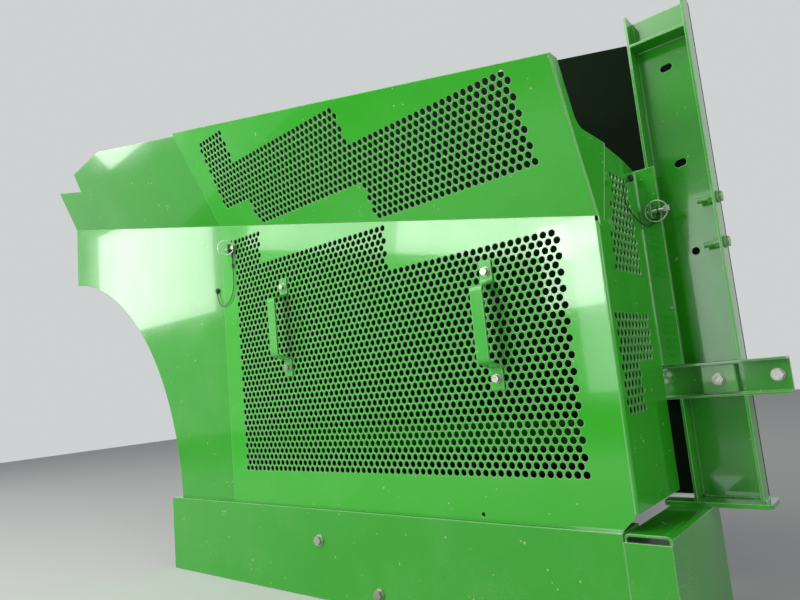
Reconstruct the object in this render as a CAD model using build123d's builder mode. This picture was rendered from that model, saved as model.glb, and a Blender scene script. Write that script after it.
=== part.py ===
from build123d import *
import os
from math import cos, radians, sin, sqrt, tan

os.makedirs("parts", exist_ok=True)

# Sizes in mm. X runs to the right along the guard, Y into the machine and Z up. The origin is on the
# back of the sill's lower lip, where the sill is bolted to the machine frame.

# perforated sheet
SHEET = 2.5
PITCH = 16.0
HOLE = 12.6
ROW = PITCH * sqrt(3) / 2
CORNER_X, CORNER_Z = 450.0, 254.0      # the lower right hole of the front field
LIGAMENT = 6.0                         # twice the least metal between a hole and a fold or slot

# guard
FACE_Y = -60.0                         # outer face of the front
EDGE_X, BEND_X = -511.0, 525.0         # cut edge at the left, bend at the right
FOOT_Z = 170.0                         # lower edge, on the sill's ledge
FOLD_Z = 666.0                         # height of the hood's fold at the right bend
FOLD_SLOPE = 12.4                      # the fold climbs to the left
FOLD_ANGLE = 25.0                      # the hood leans out by this much
HOOD_WIDTH = 260.0
HOOD_TAPER = 0.342                     # the hood's left edge runs this much to the left over its width
WELD_GAP = 0.1                         # between sheets that are welded edge to face
BEND_R = 5.0
CHAMFER = (28.0, 27.0)                 # lower right corner of the front
REAR_Y = 150.0                         # outer face of the rear flange
REAR_WIDTH = 37.0
REAR_SPAN = (415.0, 784.0)
SIDE_FOOT_Z = 197.0
WALL_DOWN = 8.0                        # the side wall's front bend ends this far below the fold

# catches: tab through a slot, held by a pin with a ring
TAB = (5.0, 16.0, 25.0)                # thickness, height over the sheet, width
TAB_PLAY = 1.5
PIN_D = 8.0
PIN_PLAY = 0.3
PIN_OUT = 9.0                          # pin axis over the sheet
PIN_LENGTH = 36.5                      # from the tip to the head's middle
HEAD = 10.0
RING_R, RING_WIRE = 19.5, 3.0
CATCH_IN = (23.5, 87.0)                # from the right bend, and down from the rear flange's top
RIGHT_CATCH = (BEND_X + CATCH_IN[0], REAR_SPAN[1] - CATCH_IN[1])
LEFT_CATCH = (EDGE_X + 48.0, 819.5)
HEAD_OUT = (28.5, 18.5)                # head's middle from the tab's middle, at the right and at the left
LEFT_RING_OPEN = 50.0
LEFT_SLOT = (10.0, 50.0)

# lanyards: cable from an anchor on the sheet to a wire loop round the pin, joined in a sleeve
CABLE = 2.0
LOOP_WIRE = 1.6
LOOP_HALF = 6.0                        # half the side of the turn round the pin
LEG_APART = 2.2
SLEEVE = (5.0, 10.0)                   # across, length
ANCHOR = (13.0, 4.5)                   # across, height

# handles
STRAP = (25.0, 4.0)
STAND_OFF = 44.0
HANDLE_ROWS = 14                       # rows of holes between the two bolts
HANDLE_FOOT = 20.0                     # from the bolt to the foot's end and to the first bend
HANDLE_SPOTS = (("handle_right", -9.0, 12), ("handle_left", -44.5, 17))

# fixed frame
FIELD_LEFT = -760.0                    # left end of the drive's space
SILL = dict(left=FIELD_LEFT - 30.0, right=500.0, front=-72.0, low=-20.0, wall=4.0, lip=40.0, step=12.0)
FRAME_BOLTS = (700.0, 150.0, 13.0)     # spacing along X and Z, hole
SILL_BOLTS = ((-185.0, 104.0), (-17.0, 12.0))
PANEL_RIGHT = EDGE_X + 55.0            # the panel's right edge, under the guard's left edge
PANEL_LENGTH = 1973.0                  # from the right bend along the fold to the panel's left end
ARCH = (-1500.0, 150.0, 740.0)         # wheel arch: X, Z, radius
# upper edge of the panel's slope: distance from the panel's left end along the fold, height on the slope
SLOPE_TOP = ((-24.0, 138.0), (150.0, 136.0), (146.0, 196.0), (367.0, 253.0))
RAIL_X = (500.0, 572.0)
# post: channel open to the front, the right tab is drawn out of its left flange
POST = dict(left=RIGHT_CATCH[0] - TAB[0] / 2, width=109.0, top=1090.0, wall=TAB[0], depth=44.0)
POST_FRONT = REAR_Y + SHEET
POST_SLOT = (599.0, 788.0, 22.0, 14.0)  # X, Z, length, width
POST_HOLE = (601.6, 618.0, 14.0)
POST_BOLTS_Z = (704.0, 622.0)
POST_CAP_Z = 1026.0
BEAM = dict(left=512.0, right=720.0, low=354.0, high=414.0, depth=34.0, wall=4.0)
BEAM_BRACKET = dict(left=583.0, right=640.0, high=48.0, out=16.0)
BEAM_BOLT = (700.0, 384.0)
FOOT = dict(left=496.0, right=668.0, front=140.0, back=204.0, thick=8.0)
INNER_WALL = dict(foot=182.0, over=388.0, bar_low=262.0, bar_high=322.0, bar_out=30.0, bar_end=35.0)

FRONT = Plane(origin=(CORNER_X, FACE_Y, CORNER_Z), x_dir=(1, 0, 0), z_dir=(0, -1, 0))
FOLD_DIR = Vector(-cos(radians(FOLD_SLOPE)), 0, sin(radians(FOLD_SLOPE)))
FOLD = Axis((BEND_X, FACE_Y, FOLD_Z), FOLD_DIR)


def fold_z(x):
    """Height of the fold over the place x along the front."""
    return FOLD_Z + (BEND_X - x) * tan(radians(FOLD_SLOPE))


def over_fold(x, z):
    """Distance of a place in the flat sheet from the fold, positive on the hood's side."""
    return (z - fold_z(x)) * cos(radians(FOLD_SLOPE))


def holes(field, clear=None):
    """Centres of the holes in fields given as (left, low, right, high) from the corner hole."""
    cells = set()
    for left, low, right, high in field:
        for row in range(round(low / ROW), round(high / ROW) + 1):
            shift = PITCH / 2 if row % 2 else 0
            for col in range(round(left / PITCH) - 1, round(right / PITCH) + 2):
                if left - 0.1 <= col * PITCH + shift <= right + 0.1:
                    cells.add((row, col * PITCH + shift))
    spots = [(x, row * ROW) for row, x in sorted(cells)]
    return [spot for spot in spots if clear is None or clear(*spot)]


def pierced(corners, spots, cutouts=()):
    """Flat face with round holes; corners, holes and cut-outs in the sheet's own plane."""
    outer = Wire.make_polygon([(x, z, 0) for x, z in corners], close=True)
    rings = [Wire.make_circle(HOLE / 2, Plane((x, z, 0))) for x, z in spots]
    return Face(outer, rings + list(cutouts))


def slot_wire(x, z, width, height):
    """Upright slot with round ends."""
    with BuildSketch() as slot:
        with Locations((x, z)):
            SlotOverall(height, width, rotation=90)
    return slot.face().outer_wire()


def finish(piece, label):
    piece.part.label = label
    export_step(piece.part, f"parts/{label}.step")


def clear_of_fold(x, z):
    return abs(over_fold(x + CORNER_X, z + CORNER_Z)) > HOLE / 2 + LIGAMENT / 2


def clear_in_front(x, z):
    """Clear of the fold and of the left catch's slot."""
    beside = abs(x + CORNER_X - LEFT_CATCH[0]) - LEFT_SLOT[0] / 2
    above = abs(z + CORNER_Z - LEFT_CATCH[1]) - LEFT_SLOT[1] / 2
    return clear_of_fold(x, z) and max(beside, above) > HOLE / 2 + LIGAMENT / 2


def clear_in_hood(x, z):
    """Clear of the fold and of the hood's upper edge."""
    return clear_of_fold(x, z) and over_fold(x + CORNER_X, z + CORNER_Z) < HOOD_WIDTH - HOLE / 2 - LIGAMENT / 2


def in_side(x, z):
    """Clear of the side wall's upper edge."""
    return z + CORNER_Z < SIDE_TOP[0][1] - HOLE / 2 - LIGAMENT / 2


# fields of holes in the flat sheet: left, low, right, high from the corner hole
FRONT_FIELD = (
    (-896, 0, 0, 402),
    (-896, 415, -384, 499),
    (-896, 512, -800, 583),
)
HOOD_FIELD = (
    (-392, 526, 0, 680),
    (-784, 609, -400, 763),
    (-896, 679, -792, 846),
)
SIDE_FIELD = (
    (0, 97, 72, 167),
    (0, 180, 144, 250),
    (32, 332, 144, 389),
    (48, 401, 144, 444),
    (64, 457, 136, 500),
)
SIDE_COL = 22.0                        # first column, from the face
# corners seen from the right: distance from the face, height
SIDE_TOP = ((153.0, 795.0), (69.0, 804.0), (56.0, 804.0))
GUSSET_FRONT = ((-85.0, 907.0), (-39.0, 807.0), (69.0, 806.0))
GUSSET_FOOT = 24.0                     # how far the gusset reaches below the fold
GUSSET_R = 34.0

# front sheet, between its left edge and the tangent of the right bend
bend_start = BEND_X - BEND_R
with BuildPart() as guard_front:
    with BuildSketch(FRONT):
        left, right, foot = EDGE_X - CORNER_X, bend_start - CORNER_X, FOOT_Z - CORNER_Z
        outline = [
            (left, foot),
            (right + BEND_R - CHAMFER[0], foot),
            (right, foot + CHAMFER[1] * (1 - BEND_R / CHAMFER[0])),
            (right, fold_z(bend_start) - CORNER_Z),
            (left, fold_z(EDGE_X) - CORNER_Z),
        ]
        catch = slot_wire(LEFT_CATCH[0] - CORNER_X, LEFT_CATCH[1] - CORNER_Z, *LEFT_SLOT)
        drain = Wire.make_circle(4, Plane((-206, -73, 0)))
        add(pierced(outline, holes(FRONT_FIELD, clear_in_front), (catch, drain)))
    extrude(amount=-SHEET)
finish(guard_front, "guard_front")

# hood, cut flat above the fold and folded out with a rounded back; its right edge stands upright
# against the gusset, clear of it over the sheet's whole thickness
slope, lean = radians(FOLD_SLOPE), radians(FOLD_ANGLE)
length = (BEND_X - EDGE_X) / cos(slope)
start = (WELD_GAP + SHEET * sin(slope) * sin(lean)) / cos(slope)


def on_sheet(along, across):
    """Place in the flat sheet, given along the fold from the right bend and across it."""
    x = BEND_X - along * cos(radians(FOLD_SLOPE)) + across * sin(radians(FOLD_SLOPE))
    z = FOLD_Z + along * sin(radians(FOLD_SLOPE)) + across * cos(radians(FOLD_SLOPE))
    return x - CORNER_X, z - CORNER_Z


with BuildPart() as hood_flat:
    with BuildSketch(FRONT):
        outline = [
            on_sheet(start, 0),
            on_sheet(length, 0),
            on_sheet(length + HOOD_WIDTH * HOOD_TAPER, HOOD_WIDTH),
            on_sheet(start + HOOD_WIDTH * tan(slope) * cos(lean), HOOD_WIDTH),
        ]
        add(pierced(outline, holes(HOOD_FIELD, clear_in_hood)))
    extrude(amount=-SHEET)

with BuildPart() as guard_hood:
    add(hood_flat.part.rotate(FOLD, -FOLD_ANGLE))
finish(guard_hood, "guard_hood")

with BuildPart() as hood_fold:
    with BuildSketch(Plane(origin=FOLD.position, x_dir=FOLD_DIR, z_dir=Vector(0, -1, 0).cross(FOLD_DIR))):
        with Locations(((start + length) / 2, 0)):
            Rectangle(length - start, SHEET, align=(Align.CENTER, Align.MIN))
    revolve(axis=FOLD.reverse(), revolution_arc=FOLD_ANGLE)
finish(hood_fold, "hood_fold")

# side wall: flat sheet between the front's bend and the rear flange's bend, with both bends
SIDE = Plane(origin=(BEND_X, FACE_Y, CORNER_Z), x_dir=(0, 1, 0), z_dir=(1, 0, 0))
INNER_R = BEND_R - SHEET
wall_end = REAR_Y - INNER_R - FACE_Y
with BuildPart() as guard_side:
    with BuildSketch(SIDE):
        outline = [
            (BEND_R, SIDE_FOOT_Z - CORNER_Z),
            (wall_end, SIDE_FOOT_Z - CORNER_Z),
            (wall_end, REAR_SPAN[1] - CORNER_Z),
            *((y, z - CORNER_Z) for y, z in SIDE_TOP),
            (BEND_R, FOLD_Z - WALL_DOWN - CORNER_Z),
        ]
        spots = [(x + SIDE_COL, z) for x, z in holes(SIDE_FIELD, in_side)]
        add(pierced(outline, spots))
    extrude(amount=-SHEET)
    with BuildSketch(Plane.XY.offset(SIDE_FOOT_Z)):
        front_bend = (BEND_X - BEND_R, FACE_Y + BEND_R)
        with BuildLine():
            CenterArc(front_bend, BEND_R, -90, 90)
            Line((BEND_X, front_bend[1]), (BEND_X - SHEET, front_bend[1]))
            CenterArc(front_bend, INNER_R, 0, -90)
            Line((front_bend[0], FACE_Y + SHEET), (front_bend[0], FACE_Y))
        make_face()
    extrude(amount=FOLD_Z - WALL_DOWN - SIDE_FOOT_Z)
    with BuildSketch(Plane.XY.offset(REAR_SPAN[0])):
        rear_bend = (BEND_X + INNER_R, REAR_Y - INNER_R)
        with BuildLine():
            CenterArc(rear_bend, INNER_R, 90, 90)
            Line((BEND_X, rear_bend[1]), (BEND_X - SHEET, rear_bend[1]))
            CenterArc(rear_bend, BEND_R, 180, -90)
            Line((rear_bend[0], REAR_Y + SHEET), (rear_bend[0], REAR_Y))
        make_face()
    extrude(amount=REAR_SPAN[1] - REAR_SPAN[0])
finish(guard_side, "guard_side")

# gusset welded over the hood's end and the side wall, its front edge along the hood's outer face
with BuildPart() as guard_gusset:
    rise = HOOD_WIDTH * cos(lean) * (cos(slope) + sin(slope) * tan(slope))
    with BuildSketch(Plane(origin=(BEND_X, FACE_Y, 0), x_dir=(0, 1, 0), z_dir=(1, 0, 0))):
        with BuildLine():
            Polyline(
                (0, FOLD_Z),
                (-HOOD_WIDTH * sin(lean), FOLD_Z + rise),
                *GUSSET_FRONT,
                (18, FOLD_Z - 8),
                (4, FOLD_Z - GUSSET_FOOT),
                close=True,
            )
        make_face()
        fillet(vertices().sort_by_distance((*GUSSET_FRONT[1], 0))[0], GUSSET_R)
        fillet(vertices().sort_by_distance((4, FOLD_Z - GUSSET_FOOT, 0))[0], 6)
    extrude(amount=SHEET)
finish(guard_gusset, "guard_gusset")

# rear flange with the slot for the right tab
with BuildPart() as rear_flange:
    with BuildSketch(Plane(origin=(0, REAR_Y, 0), x_dir=(1, 0, 0), z_dir=(0, -1, 0))):
        width = REAR_WIDTH - INNER_R
        with Locations((BEND_X + REAR_WIDTH - width / 2, sum(REAR_SPAN) / 2)):
            Rectangle(width, REAR_SPAN[1] - REAR_SPAN[0])
        with Locations(RIGHT_CATCH):
            SlotOverall(TAB[2] + 8, TAB[0] + 2 * TAB_PLAY, rotation=90, mode=Mode.SUBTRACT)
    extrude(amount=-SHEET)
finish(rear_flange, "rear_flange")


# handles: bent strap, flange bolts through two holes of the sheet, flange nuts behind
for name, column, row in HANDLE_SPOTS:
    x = CORNER_X + column * PITCH
    low, high = (CORNER_Z + (row + n) * ROW for n in (0, HANDLE_ROWS))
    with BuildPart() as handle:
        with BuildSketch(Plane(origin=(x, FACE_Y, 0), x_dir=(0, 1, 0), z_dir=(1, 0, 0))):
            mid = -STRAP[1] / 2
            top = -STAND_OFF + STRAP[1] / 2
            with BuildLine() as run:
                FilletPolyline(
                    (mid, low - HANDLE_FOOT),
                    (mid, low + HANDLE_FOOT),
                    (top, low + HANDLE_FOOT + 10),
                    (top, high - HANDLE_FOOT - 10),
                    (mid, high - HANDLE_FOOT),
                    (mid, high + HANDLE_FOOT),
                    radius=8,
                )
            trace(line_width=STRAP[1])
        extrude(amount=STRAP[0] / 2, both=True)
        with Locations(*(Plane(origin=(x, FACE_Y, z), z_dir=(0, -1, 0)) for z in (low, high))):
            Hole(4.5)
    finish(handle, name)
    with BuildPart() as bolts:
        for z in (low, high):
            seat = Plane(origin=(x, FACE_Y - STRAP[1], z), x_dir=(1, 0, 0), z_dir=(0, -1, 0))
            with BuildSketch(seat):
                Circle(9)
            extrude(amount=1.6, taper=15)
            with BuildSketch(seat):
                RegularPolygon(6.5, 6, major_radius=False)
            extrude(amount=8)
            with BuildSketch(seat):
                Circle(4)
            extrude(amount=-(STRAP[1] + SHEET + 10))
    finish(bolts, name + "_bolts")
    with BuildPart() as nuts:
        for z in (low, high):
            seat = Plane(origin=(x, FACE_Y + SHEET, z), x_dir=(1, 0, 0), z_dir=(0, 1, 0))
            with BuildSketch(seat):
                Circle(9)
            extrude(amount=1.6, taper=15)
            with BuildSketch(seat):
                RegularPolygon(6.5, 6, major_radius=False)
            extrude(amount=8)
            with BuildSketch(seat):
                Circle(4.1)
            extrude(amount=8, mode=Mode.SUBTRACT)
    finish(nuts, name + "_nuts")


# catches: tab on the fixed part, pin through it along X, ring hinged in the pin's head
for name, (x, z), face, root, head_out, open_angle in (
    ("right", RIGHT_CATCH, REAR_Y, REAR_Y + SHEET, HEAD_OUT[0], 0.0),
    ("left", LEFT_CATCH, FACE_Y, FACE_Y + SHEET, HEAD_OUT[1], LEFT_RING_OPEN),
):
    axis_y = face - PIN_OUT
    with BuildPart() as tab:
        with BuildSketch(Plane(origin=(x, 0, z), x_dir=(0, 1, 0), z_dir=(1, 0, 0))) as cut:
            with Locations(((face - TAB[1] + root) / 2, 0)):
                Rectangle(root - face + TAB[1], TAB[2])
            fillet(cut.vertices().group_by(Axis.Y)[0], 6)
            with Locations((axis_y, 0)):
                Circle(PIN_D / 2 + PIN_PLAY, mode=Mode.SUBTRACT)
        extrude(amount=TAB[0] / 2, both=True)
    finish(tab, "tab_" + name)
    head_x = x + head_out
    with BuildPart() as pin:
        with BuildSketch(Plane(origin=(head_x - PIN_LENGTH, axis_y, z), x_dir=(0, 1, 0), z_dir=(1, 0, 0))):
            Circle(PIN_D / 2)
        extrude(amount=PIN_LENGTH)
        chamfer(edges().group_by(Axis.X)[0], 1.5)
        with Locations((head_x, axis_y, z)):
            Box(HEAD, HEAD, HEAD)
            Cylinder(RING_WIRE / 2 + 1, 2 * HEAD, mode=Mode.SUBTRACT)
    finish(pin, "pin_" + name)
    hinge = Axis((head_x, axis_y, z), (0, 0, 1))
    with BuildPart() as flat_ring:
        with Locations(Location((head_x - RING_R, axis_y, z), (90, 0, 0))):
            Torus(RING_R, RING_WIRE / 2)
    with BuildPart() as ring:
        add(flat_ring.part.rotate(hinge, open_angle))
    finish(ring, "ring_" + name)
    print("catch", name, "pin axis", (axis_y, z), "head at", head_x, "ring", ring.part.bounding_box())


def tube(points, wire, radii=None):
    """Round wire along straight runs joined by arcs, by default as large as the runs allow."""
    path = [Vector(*p) for p in points]
    runs = [b - a for a, b in zip(path, path[1:])]
    if radii is None:
        pairs = zip(runs, runs[1:])
        radii = [0.45 * min(a.length, b.length) / tan(radians(a.get_angle(b)) / 2) for a, b in pairs]
    with BuildLine() as line:
        FilletPolyline(*path, radius=radii)
    with BuildSketch(Plane(origin=path[0], z_dir=runs[0])) as section:
        Circle(wire / 2)
    solid = sweep(section.sketch, line.line)
    print("radii", [round(r, 1) for r in radii], "length", round(line.wires()[0].length, 1),
          "volume by length", round(solid.volume / (section.sketch.area * line.wires()[0].length), 4))
    return solid


# cable's route from the sleeve to the anchor, then the anchor's middle on its sheet
LEFT_ROUTE = (
    (-458.0, -64.0, 768.5),
    (-457.6, -64.0, 755.0),
    (-456.8, -64.0, 741.0),
    (-457.5, -64.0, 723.0),
    (-462.7, -64.0, 705.0),
    (-473.7, -64.0, 688.0),
    (-489.0, -64.0, 676.5),
    (-505.0, -64.0, 672.0),
    (-520.0, -63.5, 676.0),
    (-530.0, -62.5, 688.0),
    (-535.0, -62.0, 700.0),
    (-537.0, -62.0, 711.0),
)
RIGHT_ROUTE = (
    (549.0, 146.0, 677.5),
    (542.0, 146.0, 674.0),
    (535.0, 142.0, 674.0),
    (530.5, 131.0, 679.0),
    (529.3, 116.0, 685.0),
    (529.0, 98.5, 690.0),
    (529.0, 82.0, 696.5),
    (529.0, 69.5, 708.0),
    (529.0, 66.0, 724.0),
    (529.0, 71.0, 738.5),
    (529.0, 83.0, 748.3),
    (529.0, 98.0, 754.6),
    (529.0, 112.5, 761.0),
)
for name, route, (x, z), axis_y, head_out, spot, out in (
    ("right", RIGHT_ROUTE, RIGHT_CATCH, REAR_Y - PIN_OUT, HEAD_OUT[0], (BEND_X, 120.0, 764.3), (1, 0, 0)),
    ("left", LEFT_ROUTE, LEFT_CATCH, FACE_Y - PIN_OUT, HEAD_OUT[1],
     (-538.0, FACE_Y + SHEET, 720.4), (0, -1, 0)),
):
    with BuildPart() as cable:
        add(tube(route, CABLE))
    finish(cable, "lanyard_" + name)
    # sleeve in line with the cable's first run, loop from its upper end round the pin and back
    first = Vector(*route[0])
    along = (first - Vector(*route[1])).normalized()
    top = first + along * SLEEVE[1]
    mid = x + (TAB[0] / 2 + head_out - HEAD / 2) / 2
    turn = [
        (mid - LEG_APART / 2, axis_y + LOOP_HALF, z + LOOP_HALF),
        (mid - LEG_APART / 4, axis_y - LOOP_HALF, z + LOOP_HALF),
        (mid + LEG_APART / 4, axis_y - LOOP_HALF, z - LOOP_HALF),
        (mid + LEG_APART / 2, axis_y + LOOP_HALF, z - LOOP_HALF),
    ]
    inside = first + along * SLEEVE[1] * 0.8
    legs = [inside + Vector(side * LEG_APART / 2, 0, 0) for side in (-1, 1)]
    bend = LOOP_HALF - 0.8
    with BuildPart() as eye:
        add(tube([legs[0], *turn, legs[1]], LOOP_WIRE, [bend, bend, bend, bend / 2]))
        with BuildSketch(Plane(origin=first, z_dir=along)):
            Circle(SLEEVE[0] / 2)
        extrude(amount=SLEEVE[1])
    finish(eye, "eye_" + name)
    # anchor: moulded cap on the sheet, with a neck that the cable leaves by
    last, before = Vector(*route[-1]), Vector(*route[-2])
    heading = (last - before).normalized()
    with BuildPart() as anchor:
        with BuildSketch(Plane(origin=spot, z_dir=out)):
            Circle(ANCHOR[0] / 2)
        extrude(amount=ANCHOR[1] + CABLE)
        fillet(edges().sort_by(Axis(spot, out))[-1], 3)
        with BuildSketch(Plane(origin=last, z_dir=heading)):
            Circle(CABLE)
        extrude(amount=ANCHOR[0] / 2)
    finish(anchor, "anchor_" + name)
    print("anchor", name, "solids", len(anchor.part.solids()), "eye", len(eye.part.solids()))

# fixed left panel: upright part under the guard's edge with a wheel arch, sloped part under the hood
BACK = Plane(origin=(CORNER_X, FACE_Y + SHEET, CORNER_Z), x_dir=(1, 0, 0), z_dir=(0, -1, 0))
lift = SHEET * tan(lean / 2) / cos(slope)
LEFT_FOLD = Axis((BEND_X, FACE_Y + SHEET, FOLD_Z + lift), FOLD_DIR)
panel_left = BEND_X - PANEL_LENGTH * cos(slope)
with BuildPart() as left_panel:
    with BuildSketch(BACK):
        with BuildLine():
            Polyline(
                (panel_left - CORNER_X, FOOT_Z - CORNER_Z),
                (PANEL_RIGHT - CORNER_X, FOOT_Z - CORNER_Z),
                (PANEL_RIGHT - CORNER_X, fold_z(PANEL_RIGHT) + lift - CORNER_Z),
                (panel_left - CORNER_X, fold_z(panel_left) + lift - CORNER_Z),
                close=True,
            )
        make_face()
        with Locations((ARCH[0] - CORNER_X, ARCH[1] - CORNER_Z)):
            Circle(ARCH[2], mode=Mode.SUBTRACT)
    extrude(amount=-SHEET)
finish(left_panel, "left_panel")

with BuildPart() as slope_flat:
    with BuildSketch(BACK):
        with BuildLine():
            right_along = (BEND_X - PANEL_RIGHT) / cos(slope)
            crest = SLOPE_TOP[-1][1]
            top = ((PANEL_LENGTH - along, across) for along, across in SLOPE_TOP)
            corners = ((right_along, 0), (PANEL_LENGTH, 0), *top, (right_along + crest * tan(slope), crest))
            Polyline(*((x, z + lift) for x, z in (on_sheet(*corner) for corner in corners)), close=True)
        make_face()
    extrude(amount=-SHEET)
with BuildPart() as left_slope:
    add(slope_flat.part.rotate(LEFT_FOLD, -FOLD_ANGLE))
finish(left_slope, "left_slope")

# sill: channel with a ledge that carries the guard, bolted on its lips
with BuildPart() as sill:
    depth, height = -SILL["front"], FOOT_Z - SILL["low"]
    with BuildSketch(Plane(origin=(SILL["left"], 0, 0), x_dir=(0, 1, 0), z_dir=(1, 0, 0))):
        with Locations((-depth / 2, SILL["low"] + height / 2)):
            Rectangle(depth, height)
            Rectangle(depth - 2 * SILL["wall"], height - 2 * SILL["wall"], mode=Mode.SUBTRACT)
        with Locations((-SILL["wall"] / 2, SILL["low"] + height / 2)):
            Rectangle(SILL["wall"], height - 2 * SILL["lip"], mode=Mode.SUBTRACT)
    extrude(amount=SILL["right"] - SILL["left"])
    # bolt holes through both lips, square to the machine frame
    with BuildSketch(Plane(origin=(0, 0, 0), x_dir=(1, 0, 0), z_dir=(0, -1, 0))):
        with Locations((0, FRAME_BOLTS[1] / 2)):
            with GridLocations(FRAME_BOLTS[0], FRAME_BOLTS[1], 2, 2):
                Circle(FRAME_BOLTS[2] / 2)
    extrude(amount=SILL["wall"], mode=Mode.SUBTRACT)
finish(sill, "sill")

with BuildPart() as sill_bolts:
    for x, z in SILL_BOLTS:
        seat = Plane(origin=(x, SILL["front"], z), x_dir=(1, 0, 0), z_dir=(0, -1, 0))
        with BuildSketch(seat):
            Circle(12)
        extrude(amount=2.5)
        with BuildSketch(seat):
            RegularPolygon(9, 6, major_radius=False)
        extrude(amount=10)
        with BuildSketch(Plane(origin=(x, SILL["front"] + SILL["wall"], z), x_dir=(1, 0, 0), z_dir=(0, 1, 0))):
            RegularPolygon(9, 6, major_radius=False)
        extrude(amount=10)
finish(sill_bolts, "sill_bolts")

# plate that closes the side rail's front and carries on the sill's face
with BuildPart() as sill_end:
    with BuildSketch(Plane(origin=(0, SILL["front"], 0), x_dir=(1, 0, 0), z_dir=(0, -1, 0))):
        with Locations(((SILL["right"] + WELD_GAP + RAIL_X[1]) / 2, (SILL["low"] + FOOT_Z - SILL["step"]) / 2)):
            Rectangle(RAIL_X[1] - SILL["right"] - WELD_GAP, FOOT_Z - SILL["step"] - SILL["low"])
    extrude(amount=-SILL["wall"])
finish(sill_end, "sill_end")

post_back = POST_FRONT + POST["depth"]
with BuildPart() as side_rail:
    width, height = RAIL_X[1] - RAIL_X[0], FOOT_Z - SILL["low"]
    rail_front = SILL["front"] + SILL["wall"] + WELD_GAP
    with BuildSketch(Plane(origin=(0, rail_front, 0), x_dir=(1, 0, 0), z_dir=(0, -1, 0))):
        with Locations((sum(RAIL_X) / 2 + WELD_GAP, SILL["low"] + height / 2)):
            RectangleRounded(width, height, 8)
            RectangleRounded(width - 8, height - 8, 4, mode=Mode.SUBTRACT)
    extrude(amount=-(post_back - rail_front))
finish(side_rail, "side_rail")

# foot plate on the rail, stanchion on it, beam across the stanchion and post on the beam
with BuildPart() as post_foot:
    with BuildSketch(Plane.XY.offset(FOOT_Z)):
        with Locations(((FOOT["left"] + FOOT["right"]) / 2, (FOOT["front"] + FOOT["back"]) / 2)):
            RectangleRounded(FOOT["right"] - FOOT["left"], FOOT["back"] - FOOT["front"], 8)
    extrude(amount=FOOT["thick"])
finish(post_foot, "post_foot")


def channel(low, high):
    """Upright channel of the post's section, open to the front."""
    with BuildPart() as piece:
        with BuildSketch(Plane.XY.offset(low)):
            with Locations((POST["left"] + POST["width"] / 2, POST_FRONT)):
                Rectangle(POST["width"], POST["depth"], align=(Align.CENTER, Align.MIN))
        extrude(amount=high - low)
        back = piece.faces().sort_by(Axis.Y)[-1].edges().filter_by(Axis.Z)
        fillet(back, POST["wall"] + 2)
        with BuildSketch(Plane.XY.offset(low)) as hollow:
            with Locations((POST["left"] + POST["width"] / 2, POST_FRONT)):
                width, depth = POST["width"] - 2 * POST["wall"], POST["depth"] - POST["wall"]
                Rectangle(width, depth, align=(Align.CENTER, Align.MIN))
            fillet(hollow.vertices().group_by(Axis.Y)[-1], 2)
        extrude(amount=high - low, mode=Mode.SUBTRACT)
    return piece.part


post_right = POST["left"] + POST["width"]
post_mid = POST_FRONT + POST["depth"] / 2
with BuildPart() as post:
    add(channel(BEAM["high"], POST["top"]))
    with BuildSketch(Plane(origin=(0, post_back, 0), x_dir=(1, 0, 0), z_dir=(0, -1, 0))):
        with Locations(POST_SLOT[:2]):
            SlotOverall(POST_SLOT[2], POST_SLOT[3], rotation=8)
        with Locations(POST_HOLE[:2]):
            Circle(POST_HOLE[2] / 2)
    extrude(amount=POST["wall"], mode=Mode.SUBTRACT)
    with BuildSketch(Plane(origin=(post_right, 0, 0), x_dir=(0, 1, 0), z_dir=(1, 0, 0))):
        with Locations(*((post_mid, z) for z in POST_BOLTS_Z)):
            Circle(5.5)
    extrude(amount=-POST["wall"], mode=Mode.SUBTRACT)
finish(post, "post")

with BuildPart() as post_cap:
    with BuildSketch(Plane.XY.offset(POST_CAP_Z)):
        with Locations((POST["left"] + POST["width"] / 2, POST_FRONT)):
            width, depth = POST["width"] - 2 * POST["wall"], POST["depth"] - POST["wall"] - 2
            Rectangle(width, depth, align=(Align.CENTER, Align.MIN))
    extrude(amount=POST["wall"])
finish(post_cap, "post_cap")

with BuildPart() as stanchion:
    add(channel(FOOT_Z + FOOT["thick"], BEAM["low"]))
finish(stanchion, "stanchion")

with BuildPart() as post_bolts:
    for z in POST_BOLTS_Z:
        outer = Plane(origin=(post_right, post_mid, z), x_dir=(0, 1, 0), z_dir=(1, 0, 0))
        inner = Plane(origin=(post_right - POST["wall"], post_mid, z), x_dir=(0, 1, 0), z_dir=(-1, 0, 0))
        for seat, height in ((outer, 8), (inner, 10)):
            with BuildSketch(seat):
                Circle(11)
            extrude(amount=2)
            with BuildSketch(seat):
                RegularPolygon(8.5, 6, major_radius=False)
            extrude(amount=height)
        with BuildSketch(outer):
            Circle(5)
        extrude(amount=-34)
finish(post_bolts, "post_bolts")

# beam, open to the front, with a hat bracket in it
with BuildPart() as cross_beam:
    with BuildSketch(Plane(origin=(BEAM["left"], 0, 0), x_dir=(0, 1, 0), z_dir=(1, 0, 0))) as section:
        middle = (BEAM["low"] + BEAM["high"]) / 2
        high = BEAM["high"] - BEAM["low"]
        with Locations((POST_FRONT, middle)):
            Rectangle(BEAM["depth"], high, align=(Align.MIN, Align.CENTER))
        fillet(section.vertices().group_by(Axis.X)[-1], BEAM["wall"] + 2)
        with Locations((POST_FRONT, middle)):
            Rectangle(BEAM["depth"] - BEAM["wall"], high - 2 * BEAM["wall"], align=(Align.MIN, Align.CENTER),
                      mode=Mode.SUBTRACT)
    extrude(amount=BEAM["right"] - BEAM["left"])
finish(cross_beam, "cross_beam")

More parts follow.
